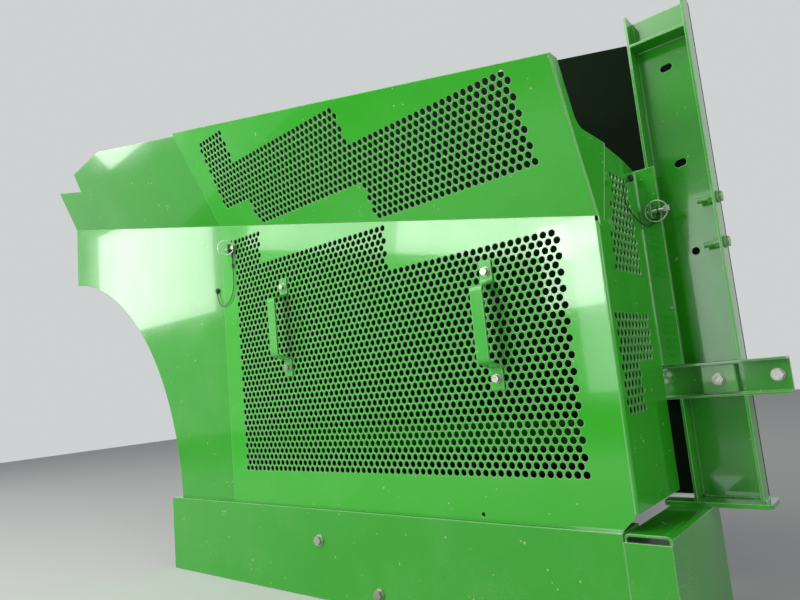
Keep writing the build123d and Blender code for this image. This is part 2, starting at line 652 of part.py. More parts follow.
web = POST_FRONT + BEAM["depth"] - BEAM["wall"]
with BuildPart() as beam_bracket:
    with BuildSketch(Plane.XY.offset(middle - BEAM_BRACKET["high"] / 2)):
        with Locations(((BEAM_BRACKET["left"] + BEAM_BRACKET["right"]) / 2, web)):
            width = BEAM_BRACKET["right"] - BEAM_BRACKET["left"]
            Rectangle(width, BEAM_BRACKET["out"], align=(Align.CENTER, Align.MAX))
            Rectangle(width - 6, BEAM_BRACKET["out"] - 3, align=(Align.CENTER, Align.MAX), mode=Mode.SUBTRACT)
    extrude(amount=BEAM_BRACKET["high"])
    fillet(beam_bracket.faces().sort_by(Axis.Y)[0].edges().filter_by(Axis.Z), 2.5)
finish(beam_bracket, "beam_bracket")

with BuildPart() as beam_bolts:
    spots = (
        ((BEAM_BRACKET["left"] + BEAM_BRACKET["right"]) / 2, middle, web - BEAM_BRACKET["out"]),
        (*BEAM_BOLT, web),
    )
    for x, z, face in spots:
        seat = Plane(origin=(x, face, z), x_dir=(1, 0, 0), z_dir=(0, -1, 0))
        with BuildSketch(seat):
            Circle(11)
        extrude(amount=2.5)
        with BuildSketch(seat):
            RegularPolygon(8.5, 6, major_radius=False)
        extrude(amount=9)
finish(beam_bolts, "beam_bolts")

# inner wall behind the drive, seen dark through the holes, with a bar along it
wall_face = post_back - POST["wall"]
wall_right = POST["left"] - WELD_GAP
with BuildPart() as inner_wall:
    with BuildSketch(Plane(origin=(0, wall_face, 0), x_dir=(1, 0, 0), z_dir=(0, -1, 0))):
        with BuildLine():
            Polyline(
                (FIELD_LEFT, INNER_WALL["foot"]),
                (wall_right, INNER_WALL["foot"]),
                (wall_right, fold_z(wall_right) + INNER_WALL["over"]),
                (FIELD_LEFT, fold_z(FIELD_LEFT) + INNER_WALL["over"]),
                close=True,
            )
        make_face()
    extrude(amount=-SHEET)
finish(inner_wall, "inner_wall")

with BuildPart() as inner_bar:
    bar_start = Plane(origin=(FIELD_LEFT + INNER_WALL["bar_end"], 0, 0), x_dir=(0, 1, 0), z_dir=(1, 0, 0))
    with BuildSketch(bar_start) as section:
        with Locations((wall_face, (INNER_WALL["bar_low"] + INNER_WALL["bar_high"]) / 2)):
            high = INNER_WALL["bar_high"] - INNER_WALL["bar_low"]
            Rectangle(INNER_WALL["bar_out"], high, align=(Align.MAX, Align.CENTER))
            fillet(section.vertices().group_by(Axis.X)[0], 6)
        with Locations((wall_face, (INNER_WALL["bar_low"] + INNER_WALL["bar_high"]) / 2)):
            Rectangle(INNER_WALL["bar_out"] - 3, high - 6, align=(Align.MAX, Align.CENTER), mode=Mode.SUBTRACT)
    extrude(amount=BEND_X - FIELD_LEFT - 2 * INNER_WALL["bar_end"])
finish(inner_bar, "inner_bar")

# end sheet between the left panel and the inner wall, standing on the sill
with BuildPart() as left_cheek:
    with BuildSketch(Plane(origin=(FIELD_LEFT, 0, 0), x_dir=(0, 1, 0), z_dir=(1, 0, 0))):
        inside = FACE_Y + 2 * SHEET + WELD_GAP
        knee = fold_z(FIELD_LEFT) + 2 * lift
        reach = SLOPE_TOP[-1][1] * sin(lean)
        with BuildLine():
            Polyline(
                (inside, FOOT_Z),
                (wall_face - WELD_GAP, FOOT_Z),
                (wall_face - WELD_GAP, fold_z(FIELD_LEFT) + INNER_WALL["over"]),
                (inside - reach, knee + reach / tan(lean) / cos(slope)),
                (inside, knee),
                close=True,
            )
        make_face()
    extrude(amount=SHEET)
finish(left_cheek, "left_cheek")
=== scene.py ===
import bpy
import math
from mathutils import Matrix, Quaternion, Vector


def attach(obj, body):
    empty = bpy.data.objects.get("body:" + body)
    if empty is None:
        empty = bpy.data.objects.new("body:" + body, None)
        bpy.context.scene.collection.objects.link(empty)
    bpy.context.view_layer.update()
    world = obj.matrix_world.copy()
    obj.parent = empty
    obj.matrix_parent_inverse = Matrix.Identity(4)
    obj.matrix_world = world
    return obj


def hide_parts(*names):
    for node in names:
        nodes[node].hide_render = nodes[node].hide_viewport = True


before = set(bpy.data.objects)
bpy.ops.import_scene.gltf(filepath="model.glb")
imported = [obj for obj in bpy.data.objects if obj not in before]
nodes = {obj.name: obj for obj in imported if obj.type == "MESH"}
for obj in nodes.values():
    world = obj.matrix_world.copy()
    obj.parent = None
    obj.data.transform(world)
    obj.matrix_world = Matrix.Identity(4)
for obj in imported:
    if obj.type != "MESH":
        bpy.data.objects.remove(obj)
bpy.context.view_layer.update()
scene = bpy.context.scene


# camera at the photograph's place, in metres, with its focal length in pixels of the 800 pixel wide picture
CAMERA_PLACE = (0.898, -1.031, 0.425)
CAMERA_FORWARD = (-0.631, 0.764, 0.134)
CAMERA_UP = (0.156, -0.044, 0.987)
FOCAL_PIXELS, PICTURE_WIDTH = 624.0, 800.0
SENSOR_WIDTH = 36.0
NEAR_CLIP = 0.01


def aim_camera():
    forward = Vector(CAMERA_FORWARD).normalized()
    right = forward.cross(Vector(CAMERA_UP)).normalized()
    up = right.cross(forward)
    data = bpy.data.cameras.new("photo_camera")
    data.sensor_width = SENSOR_WIDTH
    data.sensor_fit = "HORIZONTAL"
    data.lens = SENSOR_WIDTH * FOCAL_PIXELS / PICTURE_WIDTH
    data.clip_start = NEAR_CLIP
    camera = bpy.data.objects.new("photo_camera", data)
    turn = Matrix((right, up, -forward)).transposed().to_4x4()
    camera.matrix_world = Matrix.Translation(CAMERA_PLACE) @ turn
    scene.collection.objects.link(camera)
    scene.camera = camera


aim_camera()


# node helpers
def link(tree, source, target):
    tree.links.new(source, target)


def math_node(tree, operation, a, b=None, clamp=False):
    node = tree.nodes.new("ShaderNodeMath")
    node.operation = operation
    node.use_clamp = clamp
    for slot, value in enumerate((a, b)):
        if value is None:
            continue
        if isinstance(value, (int, float)):
            node.inputs[slot].default_value = value
        else:
            link(tree, value, node.inputs[slot])
    return node.outputs[0]


def ramp(tree, value, low, high):
    node = tree.nodes.new("ShaderNodeMapRange")
    node.interpolation_type = "SMOOTHSTEP"
    node.inputs["From Min"].default_value = low
    node.inputs["From Max"].default_value = high
    link(tree, value, node.inputs["Value"])
    return node.outputs["Result"]


def noise(tree, vector, scale, detail=2.0, rough=0.5):
    node = tree.nodes.new("ShaderNodeTexNoise")
    node.inputs["Scale"].default_value = scale
    node.inputs["Detail"].default_value = detail
    node.inputs["Roughness"].default_value = rough
    link(tree, vector, node.inputs["Vector"])
    return node.outputs["Fac"]


def mix_colour(tree, factor, a, b):
    node = tree.nodes.new("ShaderNodeMix")
    node.data_type = "RGBA"
    for label, kind, value in (("Factor", "VALUE", factor), ("A", "RGBA", a), ("B", "RGBA", b)):
        target = next(socket for socket in node.inputs if socket.name == label and socket.type == kind)
        if isinstance(value, tuple):
            target.default_value = value
        else:
            link(tree, value, target)
    return next(socket for socket in node.outputs if socket.type == "RGBA")


def bump_normal(tree, height, strength, distance, under=None):
    """Normal roughened by a height, over another normal where one is given."""
    node = tree.nodes.new("ShaderNodeBump")
    node.inputs["Strength"].default_value = strength
    node.inputs["Distance"].default_value = distance
    link(tree, height, node.inputs["Height"])
    if under is not None:
        link(tree, under, node.inputs["Normal"])
    return node.outputs["Normal"]


def new_group(name, inputs, outputs):
    group = bpy.data.node_groups.new(name, "ShaderNodeTree")
    for label, kind, value in inputs:
        socket = group.interface.new_socket(label, in_out="INPUT", socket_type=kind)
        if value is not None:
            socket.default_value = value
    for label, kind in outputs:
        group.interface.new_socket(label, in_out="OUTPUT", socket_type=kind)
    return group, group.nodes.new("NodeGroupInput"), group.nodes.new("NodeGroupOutput")


# dust that lies in specks and thin patches
SPECKS_PER_METRE, WIDEST_SPECK = 95.0, 0.22     # the widest as a share of a speck's cell


def make_dust_group():
    group, given, result = new_group(
        "settled_dust",
        [("Position", "NodeSocketVector", None), ("Specks", "NodeSocketFloat", 0.5),
         ("Film", "NodeSocketFloat", 0.3)],
        [("Mask", "NodeSocketFloat"), ("Height", "NodeSocketFloat")],
    )
    place = given.outputs["Position"]
    cells = group.nodes.new("ShaderNodeTexVoronoi")
    cells.inputs["Scale"].default_value = SPECKS_PER_METRE
    link(group, place, cells.inputs["Vector"])
    crowded = ramp(group, noise(group, place, scale=31.0, detail=2.0), low=0.52, high=0.74)
    reach = math_node(group, "MULTIPLY", crowded, WIDEST_SPECK)
    speck = math_node(group, "LESS_THAN", cells.outputs["Distance"], reach)
    speck = math_node(group, "MULTIPLY", speck, given.outputs["Specks"])
    patches = ramp(group, noise(group, place, scale=5.5, detail=6.0, rough=0.62), low=0.45, high=0.75)
    film = math_node(group, "MULTIPLY", patches, given.outputs["Film"])
    grains = ramp(group, noise(group, place, scale=420.0, detail=2.0), low=0.3, high=0.7)
    fine = math_node(group, "MULTIPLY", film, grains)
    link(group, math_node(group, "MAXIMUM", speck, fine, True), result.inputs["Mask"])
    link(group, speck, result.inputs["Height"])
    return group


# wavy surface of sprayed paint
def make_peel_group():
    group, given, result = new_group(
        "orange_peel",
        [("Position", "NodeSocketVector", None), ("Fine", "NodeSocketFloat", 1.0),
         ("Buckle", "NodeSocketFloat", 1.0)],
        [("Height", "NodeSocketFloat")],
    )
    place = given.outputs["Position"]
    fine = math_node(group, "MULTIPLY", noise(group, place, scale=260.0, detail=1.0), given.outputs["Fine"])
    wide = math_node(group, "MULTIPLY", noise(group, place, scale=4.0, detail=1.0), given.outputs["Buckle"])
    link(group, math_node(group, "ADD", fine, wide), result.inputs["Height"])
    return group


# paler or darker patches of one colour
def make_fade_group():
    group, given, result = new_group(
        "faded_colour",
        [("Position", "NodeSocketVector", None), ("Colour", "NodeSocketColor", (0.1, 0.5, 0.1, 1)),
         ("Faded", "NodeSocketColor", (0.2, 0.6, 0.2, 1)), ("Amount", "NodeSocketFloat", 0.5)],
        [("Colour", "NodeSocketColor")],
    )
    place = given.outputs["Position"]
    patch = ramp(group, noise(group, place, scale=3.2, detail=5.0, rough=0.6), low=0.3, high=0.75)
    amount = math_node(group, "MULTIPLY", patch, given.outputs["Amount"])
    colour = mix_colour(group, amount, given.outputs["Colour"], given.outputs["Faded"])
    link(group, colour, result.inputs["Colour"])
    return group


# cut edges, folds and hole rims: a normal rounded over them, and a mask of where it leaves the flat
EDGE_SAMPLES = 4


def make_edge_group():
    group, given, result = new_group(
        "shining_edge",
        [("Radius", "NodeSocketFloat", 0.002)],
        [("Mask", "NodeSocketFloat"), ("Normal", "NodeSocketVector")],
    )
    rounded = group.nodes.new("ShaderNodeBevel")
    rounded.samples = EDGE_SAMPLES
    link(group, given.outputs["Radius"], rounded.inputs["Radius"])
    flat = group.nodes.new("ShaderNodeNewGeometry").outputs["Normal"]
    dot = group.nodes.new("ShaderNodeVectorMath")
    dot.operation = "DOT_PRODUCT"
    link(group, rounded.outputs["Normal"], dot.inputs[0])
    link(group, flat, dot.inputs[1])
    bend = math_node(group, "SUBTRACT", 1.0, dot.outputs["Value"])
    link(group, ramp(group, bend, low=0.004, high=0.09), result.inputs["Mask"])
    link(group, rounded.outputs["Normal"], result.inputs["Normal"])
    return group


DUST = make_dust_group()
EDGE = make_edge_group()
PEEL = make_peel_group()
FADE = make_fade_group()


def use(tree, group, position=None, **values):
    node = tree.nodes.new("ShaderNodeGroup")
    node.node_tree = group
    if position is not None:
        link(tree, position, node.inputs["Position"])
    for key, value in values.items():
        node.inputs[key].default_value = value
    return node.outputs


def start_material(name):
    material = bpy.data.materials.new(name)
    material.use_nodes = True
    tree = material.node_tree
    shader = tree.nodes["Principled BSDF"]
    position = tree.nodes.new("ShaderNodeTexCoord").outputs["Object"]
    return material, tree, shader, position


# colours of the dust where it lies, and the painted highlight on edges of paint and zinc
DUST_COLOUR = (0.42, 0.52, 0.32, 1)
# dust darkened by painted shade, on the wall inside the machine
INNER_DUST_IN_PAINTED_SHADE = (0.010, 0.012, 0.007, 1)
# dust on the inner bar, darkened by painted shade
BAR_DUST_IN_PAINTED_SHADE = (0.05, 0.07, 0.035, 1)
RUBBER_DUST = (0.16, 0.15, 0.11, 1)
EDGE_HIGHLIGHT_GREEN = (0.50, 0.72, 0.44, 1)
EDGE_HIGHLIGHT_ZINC = (0.95, 0.95, 0.9, 1)

# sprayed paint
SHEET_EDGE = 0.0024              # how far the shine reaches in from an edge
PAINT_FADE = 0.5                 # how far the colour goes over to its faded one
DUST_MATT, WEAR_MATT = 0.6, 0.08           # roughness that dust and wear add
PEEL_STRENGTH, PEEL_DEPTH = 0.35, 0.002    # bump of orange peel and buckles
PEEL_FINE, SPECK_HEIGHT = 0.12, 0.4        # share of the fine waves, and of the dust specks
SHEET_COAT, COAT_ROUGHNESS = 0.6, 0.04

# zinc plate
# rounding of zinc edges, and how much painted highlight they get
ZINC_EDGE, ZINC_EDGE_HIGHLIGHT = 0.0008, 0.5
ZINC_FADE = 0.8
PIT_TARNISH, PIT_MATT = 0.45, 0.25         # tarnish and roughness in the pits
PIT_STRENGTH, PIT_DEPTH = 0.3, 0.0004

# rubber and plastic
GRAIN_MATT = 0.2
GRAIN_STRENGTH, GRAIN_DEPTH = 0.3, 0.0003


def paint_material(name, colour, faded, rough, specks, film, buckle, dust=DUST_COLOUR, coat=SHEET_COAT,
                   specular=0.4, edge_highlight=0.75):
    """Sprayed paint with faded patches, a painted highlight on its edges, orange peel and dust."""
    material, tree, shader, position = start_material(name)
    base = use(tree, FADE, position, Colour=colour, Faded=faded, Amount=PAINT_FADE)["Colour"]
    edge = use(tree, EDGE, Radius=SHEET_EDGE)
    # painted highlight: the colour goes paler over cut edges, folds and hole rims
    base = mix_colour(tree, math_node(tree, "MULTIPLY", edge["Mask"], edge_highlight), base, EDGE_HIGHLIGHT_GREEN)
    dusty = use(tree, DUST, position, Specks=specks, Film=film)
    link(tree, mix_colour(tree, dusty["Mask"], base, dust), shader.inputs["Base Color"])
    matt = math_node(tree, "MULTIPLY", dusty["Mask"], DUST_MATT)
    worn = ramp(tree, noise(tree, position, scale=9.0, detail=4.0), low=0.3, high=0.8)
    matt = math_node(tree, "ADD", matt, math_node(tree, "MULTIPLY", worn, WEAR_MATT))
    link(tree, math_node(tree, "ADD", matt, rough, True), shader.inputs["Roughness"])
    peel = use(tree, PEEL, position, Fine=PEEL_FINE, Buckle=buckle)["Height"]
    height = math_node(tree, "ADD", peel, math_node(tree, "MULTIPLY", dusty["Height"], SPECK_HEIGHT))
    link(tree, bump_normal(tree, height, PEEL_STRENGTH, PEEL_DEPTH, edge["Normal"]), shader.inputs["Normal"])
    shader.inputs["Coat Weight"].default_value = coat
    shader.inputs["Coat Roughness"].default_value = COAT_ROUGHNESS
    shader.inputs["Specular IOR Level"].default_value = specular
    return material


def zinc_material(name, colour, tarnish, rough, pit_scale):
    """Zinc plate with tarnished patches, fine pits and a painted highlight on its edges."""
    material, tree, shader, position = start_material(name)
    base = use(tree, FADE, position, Colour=colour, Faded=tarnish, Amount=ZINC_FADE)["Colour"]
    pits = ramp(tree, noise(tree, position, scale=pit_scale, detail=4.0, rough=0.7), low=0.35, high=0.7)
    edge = use(tree, EDGE, Radius=ZINC_EDGE)
    base = mix_colour(tree, math_node(tree, "MULTIPLY", pits, PIT_TARNISH), base, tarnish)
    # painted highlight: the colour goes near white over the edges
    base = mix_colour(tree, math_node(tree, "MULTIPLY", edge["Mask"], ZINC_EDGE_HIGHLIGHT), base, EDGE_HIGHLIGHT_ZINC)
    link(tree, base, shader.inputs["Base Color"])
    roughness = math_node(tree, "ADD", math_node(tree, "MULTIPLY", pits, PIT_MATT), rough, True)
    link(tree, roughness, shader.inputs["Roughness"])
    shader.inputs["Metallic"].default_value = 1.0
    link(tree, bump_normal(tree, pits, PIT_STRENGTH, PIT_DEPTH, edge["Normal"]), shader.inputs["Normal"])
    return material


def rubber_material(name, colour, rough):
    """Black rubber or plastic with a fine grain and dust."""
    material, tree, shader, position = start_material(name)
    dusty = use(tree, DUST, position, Specks=0.5, Film=0.6)["Mask"]
    link(tree, mix_colour(tree, dusty, colour, RUBBER_DUST), shader.inputs["Base Color"])
    grain = noise(tree, position, scale=900.0, detail=2.0)
    roughness = math_node(tree, "ADD", math_node(tree, "MULTIPLY", grain, GRAIN_MATT), rough, True)
    link(tree, roughness, shader.inputs["Roughness"])
    link(tree, bump_normal(tree, grain, GRAIN_STRENGTH, GRAIN_DEPTH), shader.inputs["Normal"])
    return material


# the machine's own wall behind the guard: nearly black towards the guard as painted shade, and painted green
# past these places. The cheek's outer side and the strip's back lie past them. inner_wall ends 1.2 mm short
# of its own and is dark on both sides.
PAINTED_SHADE, PAINTED_SHADE_FADED = (0.001, 0.008, 0.001, 1), (0.003, 0.010, 0.003, 1)
WALL_GREEN, WALL_FADED = (0.022, 0.33, 0.017, 1), (0.04, 0.39, 0.03, 1)
CHEEK_PAINTED_PAST_X = -0.7583
WALL_PAINTED_PAST_Y, STRIP_PAINTED_PAST_Y = 0.1952, 0.1985
WALL_MATT, WALL_PAINT_GLOSS = 0.75, 0.5    # roughness of the painted-shade side, and how much less the paint has
PAINTED_SHADE_FADE = 0.8
WALL_COAT_ROUGHNESS, WALL_SPECULAR = 0.06, 0.08


def wall_material(name, painted_past_y):
    """Sheet in nearly black painted shade, painted green to the left of one place and behind another."""
    material, tree, shader, position = start_material(name)
    split = tree.nodes.new("ShaderNodeSeparateXYZ")
    link(tree, position, split.inputs[0])
    behind = math_node(tree, "GREATER_THAN", split.outputs["Y"], painted_past_y)
    beside = math_node(tree, "LESS_THAN", split.outputs["X"], CHEEK_PAINTED_PAST_X)
    far = math_node(tree, "MAXIMUM", behind, beside)
    # nearly black painted shade on the faces towards the guard, green paint on the far ones
    painted_shade = use(tree, FADE, position, Colour=PAINTED_SHADE, Faded=PAINTED_SHADE_FADED, Amount=PAINTED_SHADE_FADE)["Colour"]
    paint = use(tree, FADE, position, Colour=WALL_GREEN, Faded=WALL_FADED, Amount=PAINT_FADE)["Colour"]
    dusty = use(tree, DUST, position, Specks=0.9, Film=0.35)["Mask"]
    dark = mix_colour(tree, dusty, painted_shade, INNER_DUST_IN_PAINTED_SHADE)
    bright = mix_colour(tree, dusty, paint, DUST_COLOUR)
    link(tree, mix_colour(tree, far, dark, bright), shader.inputs["Base Color"])
    roughness = math_node(tree, "SUBTRACT", WALL_MATT, math_node(tree, "MULTIPLY", far, WALL_PAINT_GLOSS))
    link(tree, roughness, shader.inputs["Roughness"])
    link(tree, math_node(tree, "MULTIPLY", far, SHEET_COAT), shader.inputs["Coat Weight"])
    shader.inputs["Coat Roughness"].default_value = WALL_COAT_ROUGHNESS
    shader.inputs["Specular IOR Level"].default_value = WALL_SPECULAR
    peel = use(tree, PEEL, position, Fine=PEEL_FINE, Buckle=1.0)["Height"]
    link(tree, bump_normal(tree, peel, PEEL_STRENGTH, PEEL_DEPTH), shader.inputs["Normal"])
    return material


# finishes, and the nodes that wear them
guard_paint = paint_material("guard_gloss_green", (0.028, 0.41, 0.010, 1), (0.05, 0.46, 0.04, 1),
                             rough=0.09, specks=0.8, film=0.08, buckle=1.2)
frame_green = paint_material("frame_gloss_green", (0.021, 0.33, 0.008, 1), (0.04, 0.39, 0.02, 1),
                             rough=0.11, specks=0.9, film=0.12, buckle=1.0)
strap_paint = paint_material("handle_gloss_green", (0.04, 0.42, 0.03, 1), (0.07, 0.48, 0.06, 1),
                             rough=0.2, specks=0.5, film=0.2, buckle=0.3)
bolt_paint = paint_material("painted_bolt_green", (0.05, 0.34, 0.035, 1), (0.10, 0.42, 0.07, 1),
                            rough=0.3, specks=0.9, film=0.6, buckle=0.2)
# weld bead: a real bead, its green paler than the guard's as a painted highlight along the gusset's seam
bead_highlight_paint = paint_material("weld_bead_highlight_green", (0.16, 0.50, 0.12, 1), (0.24, 0.56, 0.18, 1),
                            rough=0.14, specks=0.4, film=0.1, buckle=0.3)
# inner bar: frame green darkened as painted shade, with its dust darkened the same way
bar_shaded_paint = paint_material("inner_bar_shaded_green", (0.003, 0.055, 0.002, 1), (0.010, 0.045, 0.007, 1),
                           rough=0.55, specks=1.0, film=0.4, buckle=1.0, dust=BAR_DUST_IN_PAINTED_SHADE, coat=0.0,
                           specular=0.12, edge_highlight=0.2)
wall_paint = wall_material("machine_wall", WALL_PAINTED_PAST_Y)
strip_paint = wall_material("machine_wall_strip", STRIP_PAINTED_PAST_Y)
zinc = zinc_material("zinc_plate", (0.60, 0.60, 0.55, 1), (0.30, 0.28, 0.22, 1), rough=0.26, pit_scale=300.0)
wire_zinc = zinc_material("bright_zinc_wire", (0.85, 0.85, 0.81, 1), (0.4, 0.38, 0.3, 1),
                          rough=0.2, pit_scale=500.0)
sleeve = rubber_material("black_sleeve", (0.012, 0.013, 0.012, 1), rough=0.42)
cable_skin = rubber_material("black_cable_skin", (0.018, 0.026, 0.018, 1), rough=0.35)

FINISHES = {
    guard_paint: ("guard_front", "guard_hood", "hood_fold", "guard_side", "guard_gusset", "rear_flange"),
    strap_paint: ("handle_right", "handle_left"),
    frame_green: ("left_panel", "left_slope", "sill", "sill_end", "side_rail", "post", "post_cap",
                  "post_foot", "stanchion", "cross_beam", "tab_right", "tab_left"),
    bolt_paint: ("post_bolts", "beam_bracket"),
    wall_paint: ("inner_wall", "left_cheek"),
    bar_shaded_paint: ("inner_bar",),
    zinc: ("handle_right_bolts", "handle_left_bolts", "handle_right_nuts", "handle_left_nuts", "sill_bolts",
           "beam_bolts", "pin_right", "pin_left"),
    wire_zinc: ("ring_right", "ring_left"),
    sleeve: ("eye_right", "eye_left", "anchor_right", "anchor_left"),
    cable_skin: ("lanyard_right", "lanyard_left"),
}


def dress_nodes():
    for finish, names in FINISHES.items():
        for name in names:
            nodes[name].data.materials.clear()
            nodes[name].data.materials.append(finish)


dress_nodes()


# post with its second oval hole, near the cap plate: place, length, width and turn in degrees
UPPER_SLOT = dict(x=0.600, z=0.978, length=0.022, width=0.014, turn=8.0)
PUNCH_MIDDLE_Y, PUNCH_DEPTH, PUNCH_CORNERS = 0.194, 0.03, 30
MERGE_DISTANCE = 1e-6


def select_only(item):
    bpy.ops.object.select_all(action="DESELECT")
    item.select_set(True)
    bpy.context.view_layer.objects.active = item


def make_slot_punch(slot):
    """Oval punch: a round bar whose two halves are drawn apart."""
    bpy.ops.object.select_all(action="DESELECT")
    bpy.ops.mesh.primitive_cylinder_add(
        vertices=PUNCH_CORNERS, radius=slot["width"] / 2, depth=PUNCH_DEPTH,
        rotation=(math.pi / 2, math.pi / PUNCH_CORNERS, 0))
    punch = bpy.context.object
    bpy.ops.object.transform_apply(location=True, rotation=True, scale=True)
    draw = (slot["length"] - slot["width"]) / 2
    for side in (1, -1):
        for part in (punch.data.vertices, punch.data.edges, punch.data.polygons):
            part.foreach_set("select", [False] * len(part))
        for vertex in punch.data.vertices:
            vertex.select = side * vertex.co.x > 0
        bpy.ops.object.mode_set(mode="EDIT")
        bpy.ops.transform.translate(value=(side * draw, 0, 0))
        bpy.ops.object.mode_set(mode="OBJECT")
    punch.location = (slot["x"], PUNCH_MIDDLE_Y, slot["z"])
    punch.rotation_euler = (0, -math.radians(slot["turn"]), 0)
    return punch


def make_post():
    post = bpy.data.objects.new("post_body", nodes["post"].data.copy())
    scene.collection.objects.link(post)
    select_only(post)
    bpy.ops.object.mode_set(mode="EDIT")
    bpy.ops.mesh.select_all(action="SELECT")
    bpy.ops.mesh.remove_doubles(threshold=MERGE_DISTANCE)
    bpy.ops.object.mode_set(mode="OBJECT")
    punch = make_slot_punch(UPPER_SLOT)
    cut = post.modifiers.new("upper_slot", "BOOLEAN")
    cut.operation = "DIFFERENCE"
    cut.solver = "EXACT"
    cut.object = punch
    select_only(post)
    bpy.ops.object.modifier_apply(modifier=cut.name)
    bpy.data.objects.remove(punch)
    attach(post, "frame")
    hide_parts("post")


# the machine's wall goes on behind the post and shows through its holes in nearly black painted shade
STRIP_LOW, STRIP_HIGH = Vector((0.5460, 0.1968, 0.182)), Vector((0.6545, 0.1990, 1.089))
STRIP_EDGE, STRIP_EDGE_STEPS = 0.0005, 2


def make_wall_strip():
    bpy.ops.object.select_all(action="DESELECT")
    bpy.ops.mesh.primitive_cube_add(size=1.0, location=(STRIP_LOW + STRIP_HIGH) / 2)
    strip = bpy.context.object
    strip.name = "wall_strip"
    strip.scale = STRIP_HIGH - STRIP_LOW
    bpy.ops.object.transform_apply(location=True, rotation=True, scale=True)
    edges = strip.modifiers.new("broken_edges", "BEVEL")
    edges.width = STRIP_EDGE
    edges.segments = STRIP_EDGE_STEPS
    bpy.ops.object.modifier_apply(modifier=edges.name)
    strip.data.materials.append(strip_paint)
    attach(strip, "frame")


# weld beads along the gusset's rear edge, under the cap plate and round the foot of the stanchion: name, two
# ends, radius, paint and slot. Those at the foot run along the web and the outer sides of the two flanges.
WEB_Y, WEB_LEFT, WEB_RIGHT = 0.1906, 0.5530, 0.6480
LEFT_X, RIGHT_X, FRONT_Y, BACK_Y = 0.5456, 0.6554, 0.1545, 0.1925
CAP_Z, WEB_FOOT_Z, FLANGE_FOOT_Z = 1.0250, 0.1790, 0.1788
BEADS = (
    ("gusset_bead", (0.5272, 0.0085, 0.8045), (0.5272, -0.0415, 0.6595), 0.0014, bead_highlight_paint, "green_paint"),
    ("cap_bead", (WEB_LEFT, WEB_Y, CAP_Z), (WEB_RIGHT, WEB_Y, CAP_Z), 0.0018, frame_green, "frame_paint"),
    ("foot_bead_front", (WEB_LEFT, WEB_Y, WEB_FOOT_Z), (WEB_RIGHT, WEB_Y, WEB_FOOT_Z), 0.0022,
     frame_green, "frame_paint"),
    ("foot_bead_left", (LEFT_X, FRONT_Y, FLANGE_FOOT_Z), (LEFT_X, BACK_Y, FLANGE_FOOT_Z), 0.0020,
     frame_green, "frame_paint"),
    ("foot_bead_right", (RIGHT_X, FRONT_Y, FLANGE_FOOT_Z), (RIGHT_X, BACK_Y, FLANGE_FOOT_Z), 0.0020,
     frame_green, "frame_paint"),
)
RIPPLE = 0.0028                  # length of one ripple of a bead
BEAD_THICK = 0.92                # thickness as a share of the radius, and the waves that it goes in
BEAD_WAVES = ((0.12, 2.4), (0.06, 0.9))
BEAD_SMOOTH, BEAD_SIDES = 3, 3


def make_round_curve(name, points, radius, smooth, sides, material):
    """Round bar along a smooth line; a point is its place and how thick the bar is there."""
    curve = bpy.data.curves.new(name, "CURVE")
    curve.dimensions = "3D"
    curve.bevel_depth = radius
    curve.bevel_resolution = sides
    curve.resolution_u = smooth
    curve.use_fill_caps = True
    spline = curve.splines.new("NURBS")
    spline.points.add(len(points) - 1)
    for point, (place, thick) in zip(spline.points, points):
        point.co = (*place, 1.0)
        point.radius = thick
    spline.order_u = 3
    spline.use_endpoint_u = True
    curve.materials.append(material)
    bar = bpy.data.objects.new(name, curve)
    scene.collection.objects.link(bar)
    return bar


def make_bead(name, start, end, radius, material, slot):
    start, end = Vector(start), Vector(end)
    steps = int((end - start).length / RIPPLE)
    points = []
    for i in range(steps + 1):
        waves = [height * math.sin(rate * i) for height, rate in BEAD_WAVES]
        points.append((start.lerp(end, i / steps), BEAD_THICK + sum(waves)))
    bead = make_round_curve(name, points, radius, BEAD_SMOOTH, BEAD_SIDES, material)
    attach(bead, "frame")


make_post()
make_wall_strip()
for bead in BEADS:
    make_bead(*bead)


# lanyards, from the anchor on the sheet to the sleeve of the loop round the pin
LEFT_ROUTE = (
    (-0.537, -0.062, 0.711), (-0.535, -0.062, 0.700), (-0.530, -0.0625, 0.688), (-0.520, -0.0635, 0.676),
    (-0.505, -0.064, 0.672), (-0.489, -0.064, 0.6765), (-0.4737, -0.064, 0.688), (-0.4627, -0.064, 0.705),
    (-0.4575, -0.064, 0.723), (-0.4568, -0.064, 0.741), (-0.4576, -0.064, 0.755), (-0.458, -0.064, 0.7685),
)
RIGHT_ROUTE = (
    (0.529, 0.1125, 0.761), (0.529, 0.098, 0.7546), (0.529, 0.083, 0.7483), (0.529, 0.071, 0.7385),
    (0.529, 0.066, 0.724), (0.529, 0.0695, 0.708), (0.529, 0.082, 0.6965), (0.529, 0.0985, 0.690),
    (0.5293, 0.116, 0.685), (0.5305, 0.131, 0.679), (0.535, 0.142, 0.674), (0.542, 0.146, 0.674),
    (0.549, 0.146, 0.6775),
)
CABLE_RADIUS = 0.001
CABLE_SMOOTH, CABLE_SIDES = 12, 4


def make_lanyard(side, route):
    points = [(place, 1.0) for place in route]
    cable = make_round_curve("cable_" + side, points, CABLE_RADIUS, CABLE_SMOOTH, CABLE_SIDES, cable_skin)
    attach(cable, "frame")
    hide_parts("lanyard_" + side)


make_lanyard("left", LEFT_ROUTE)
make_lanyard("right", RIGHT_ROUTE)


# plain floor and studio light
FLOOR_SIZE, FLOOR_Z = 14.0, -0.0205     # half a millimetre under the sill
FLOOR_GREY, FLOOR_ROUGHNESS = (0.62, 0.62, 0.61, 1), 0.8
BACKDROP_GREY = (0.62, 0.64, 0.64, 1)
SOFT_LIGHT, SOFT_STRENGTH = (0.90, 0.95, 1.0, 1), 0.26


